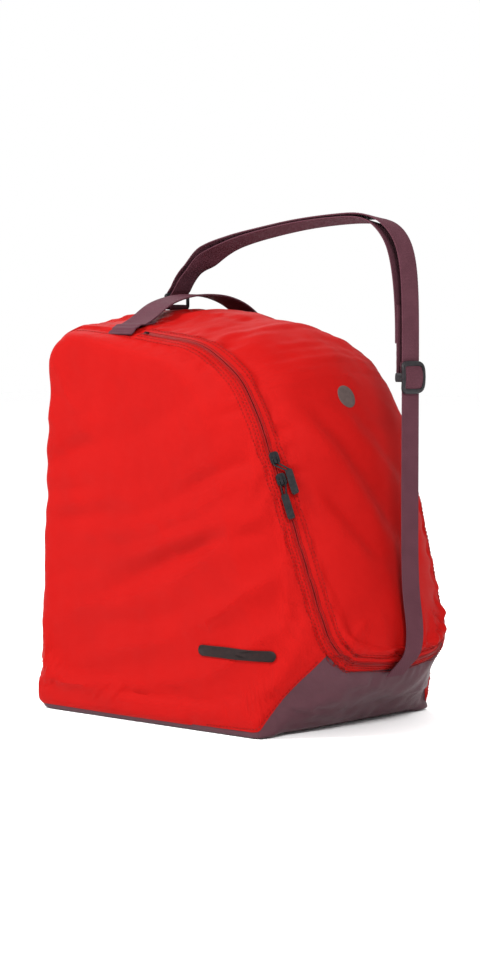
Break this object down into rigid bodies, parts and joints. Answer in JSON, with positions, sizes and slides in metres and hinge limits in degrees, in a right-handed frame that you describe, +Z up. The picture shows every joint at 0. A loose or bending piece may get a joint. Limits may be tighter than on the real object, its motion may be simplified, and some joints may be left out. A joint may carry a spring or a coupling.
{
  "type": "ski boot bag",
  "caption": "Wedge-shaped fabric boot bag with a zipped front flap, a webbing carry handle, a coated base and a shoulder strap with a sliding adjuster.",
  "frame": {"origin": "middle of the base on the ground", "axes": "+Z up, the zipped flap faces -Y, +X is the right-hand side seen from the front"},
  "size_m": [0.26, 0.394, 0.4916],
  "materials": {
    "shell_fabric": "matt",
    "flap_fabric": "matt",
    "base_fabric": "satin",
    "lining_fabric": "matt",
    "base_board": "matt",
    "zipper_tape": "matt",
    "zipper_coil": "satin",
    "slider_metal": "satin",
    "pull_rubber": "matt",
    "webbing": "matt",
    "buckle_plastic": "satin",
    "ring_metal": "gloss"
  },
  "bodies": {
    "bag": {"side_panel_left": "shell_fabric", "side_panel_right": "shell_fabric", "top_panel": "shell_fabric", "back_panel": "shell_fabric", "base_shell": "base_fabric", "base_board": "base_board", "lining_left": "lining_fabric", "lining_right": "lining_fabric", "lining_top": "lining_fabric", "lining_back": "lining_fabric", "lining_toe": "lining_fabric", "lining_floor": "lining_fabric", "zipper_tape_body": "zipper_tape", "zipper_coil_body": "zipper_coil", "zipper_end_stops": "slider_metal", "handle_end_left": "webbing", "handle_end_right": "webbing", "strap_anchor_tab": "webbing", "strap_base_patch": "webbing", "strap_front_end": "webbing", "strap_rear_end": "webbing", "strap_rear_return": "webbing"},
    "flap": {"flap_panel": "flap_fabric", "flap_lining": "lining_fabric", "zipper_tape_flap": "zipper_tape", "zipper_coil_flap": "zipper_coil"},
    "slider_upper": {"slider_upper": "slider_metal"},
    "slider_lower": {"slider_lower": "slider_metal"},
    "pull_upper": {"pull_upper": "pull_rubber"},
    "pull_lower": {"pull_lower": "pull_rubber"},
    "handle": {"carry_handle": "webbing"},
    "strap": {"strap_run": "webbing", "strap_return": "webbing"},
    "buckle": {"tri_glide": "buckle_plastic", "strap_fold": "webbing"},
    "ring": {"strap_ring": "ring_metal", "strap_loop": "webbing"}
  },
  "joints": [
    {"name": "flap_open", "type": "hinge", "parent": "bag", "child": "flap", "pos_m": [0, 0.03, 0.403], "axis": [-1, 0, 0], "range_deg": [0, 60], "deforming": ["strap_front_end", "strap_rear_end", "strap_rear_return"]},
    {"name": "handle_lift", "type": "slide", "parent": "bag", "child": "handle", "axis": [0, 0, 1], "range_m": [0, 0.012]},
    {"name": "ring_swing", "type": "hinge", "parent": "bag", "child": "ring", "pos_m": [0, 0.084, 0.4035], "axis": [-1, 0, 0], "range_deg": [-15, 20]},
    {"name": "strap_sway", "type": "hinge", "parent": "flap", "child": "strap", "pos_m": [0, -0.1985, 0.0494], "axis": [0, 0.6236, 0.7817], "range_deg": [-12, 12]},
    {"name": "buckle_slide", "type": "slide", "parent": "strap", "child": "buckle", "axis": [0, 0, 1], "range_m": [-0.03, 0.035]},
    {"name": "slider_upper_slide", "type": "slide", "parent": "flap", "child": "slider_upper", "axis": [-0.0786, 0.3308, 0.9404], "range_m": [0, 0.009]},
    {"name": "pull_upper_swing", "type": "hinge", "parent": "slider_upper", "child": "pull_upper", "pos_m": [-0.10319, -0.14169, 0.2615], "axis": [-0.6336, 0.7118, -0.3033], "range_deg": [0, 150]},
    {"name": "slider_lower_slide", "type": "slide", "parent": "flap", "child": "slider_lower", "axis": [0.0786, -0.3301, -0.9407], "range_m": [0, 0.12]},
    {"name": "pull_lower_swing", "type": "hinge", "parent": "slider_lower", "child": "pull_lower", "pos_m": [-0.10152, -0.14872, 0.2415], "axis": [-0.6351, 0.7108, -0.3025], "range_deg": [0, 150]}
  ]
}
